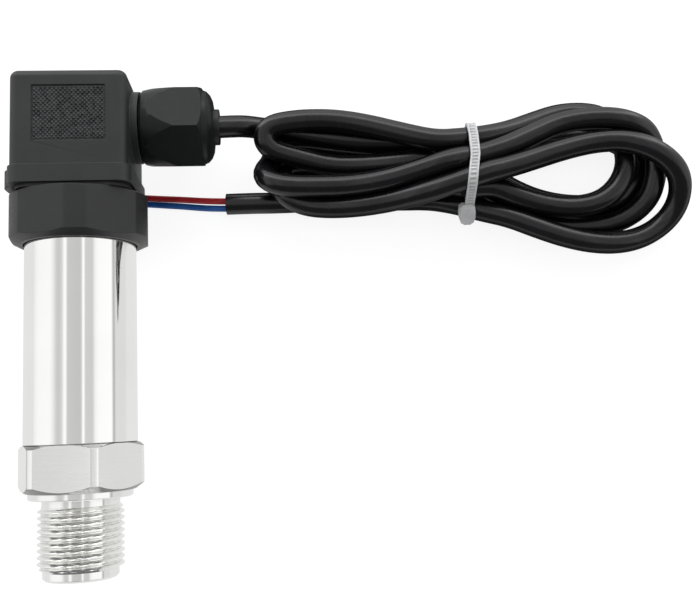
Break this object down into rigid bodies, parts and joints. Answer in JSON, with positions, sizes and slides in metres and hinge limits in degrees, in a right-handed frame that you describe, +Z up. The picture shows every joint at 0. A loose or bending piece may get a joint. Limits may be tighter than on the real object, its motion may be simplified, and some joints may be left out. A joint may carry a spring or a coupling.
{
  "type": "pressure transmitter",
  "caption": "Steel pressure transmitter with a male process thread, hexagon and tube body, an angled black connector plug with a cable gland, and a tied hank of cord.",
  "frame": {"origin": "centre of the footprint of the transmitter and its plug, on the surface they lie on, with the cord left out of the measuring", "axes": "+Z up, away from the surface; +Y along the transmitter from the thread towards the plug, whose end is tilted 3.46 degrees up; +X towards the cable gland and the cord"},
  "size_m": [0.1708, 0.121, 0.0348],
  "materials": {
    "fitting_steel": "satin turned stainless steel",
    "tube_steel": "polished stainless steel",
    "capsule_steel": "turned stainless steel",
    "seal_rubber": "moulded rubber",
    "board": "coated glass-fibre board",
    "chip": "moulded epoxy",
    "trimmer": "moulded plastic",
    "lead_metal": "tinned wire",
    "nut_plastic": "moulded glass-filled nylon",
    "contact_metal": "tinned strip",
    "insert_brass": "turned brass",
    "gasket_rubber": "moulded rubber",
    "plug_plastic": "moulded nylon, finely textured",
    "carrier_plastic": "moulded nylon",
    "screw_steel": "zinc-plated steel",
    "gland_plastic": "moulded nylon",
    "bush_rubber": "moulded rubber",
    "cord_jacket": "extruded soft vinyl",
    "tie_nylon": "translucent natural nylon",
    "core_red": "extruded vinyl",
    "core_blue": "extruded vinyl"
  },
  "bodies": {
    "transmitter": {"process_fitting": "fitting_steel", "sensor_tube": "tube_steel", "sensor_capsule": "capsule_steel", "capsule_seal": "seal_rubber", "lock_ring": "capsule_steel", "circuit_board": "board", "amplifier_chip": "chip", "trim_potentiometers": "trimmer", "sensor_leads": "lead_metal", "plug_base": "nut_plastic", "contact_blades": "contact_metal", "earth_blade": "contact_metal", "base_insert": "insert_brass", "tube_seal": "seal_rubber", "inner_leads": "lead_metal", "flange_gasket": "gasket_rubber"},
    "plug": {"plug_housing": "plug_plastic", "terminal_carrier": "carrier_plastic", "socket_contacts": "contact_metal", "terminal_screws": "screw_steel", "screw_seal": "gasket_rubber", "gland_bush": "bush_rubber", "gland_ring": "gland_plastic", "terminal_cores": "core_red", "cord_entry": "cord_jacket", "cord_lead": "cord_jacket", "cord_hank": "cord_jacket", "cord_tail": "cord_jacket", "cable_tie": "tie_nylon", "red_core": "core_red", "blue_core": "core_blue"},
    "screw": {"fixing_screw": "screw_steel"},
    "nut": {"gland_nut": "gland_plastic"}
  },
  "joints": [
    {"name": "plug_pull", "type": "slide", "parent": "transmitter", "child": "plug", "axis": [0, 0.9982, 0.0604], "range_m": [0, 0.025]},
    {"name": "fixing_screw_turn", "type": "hinge", "parent": "plug", "child": "screw", "pos_m": [-0.00879, 0.0597, 0.0195], "axis": [0, 0.9982, 0.0604], "continuous": true},
    {"name": "gland_nut_turn", "type": "hinge", "parent": "plug", "child": "nut", "pos_m": [0.01503, 0.0492, 0.01594], "axis": [0.9925, 0.0074, -0.1216], "continuous": true}
  ]
}
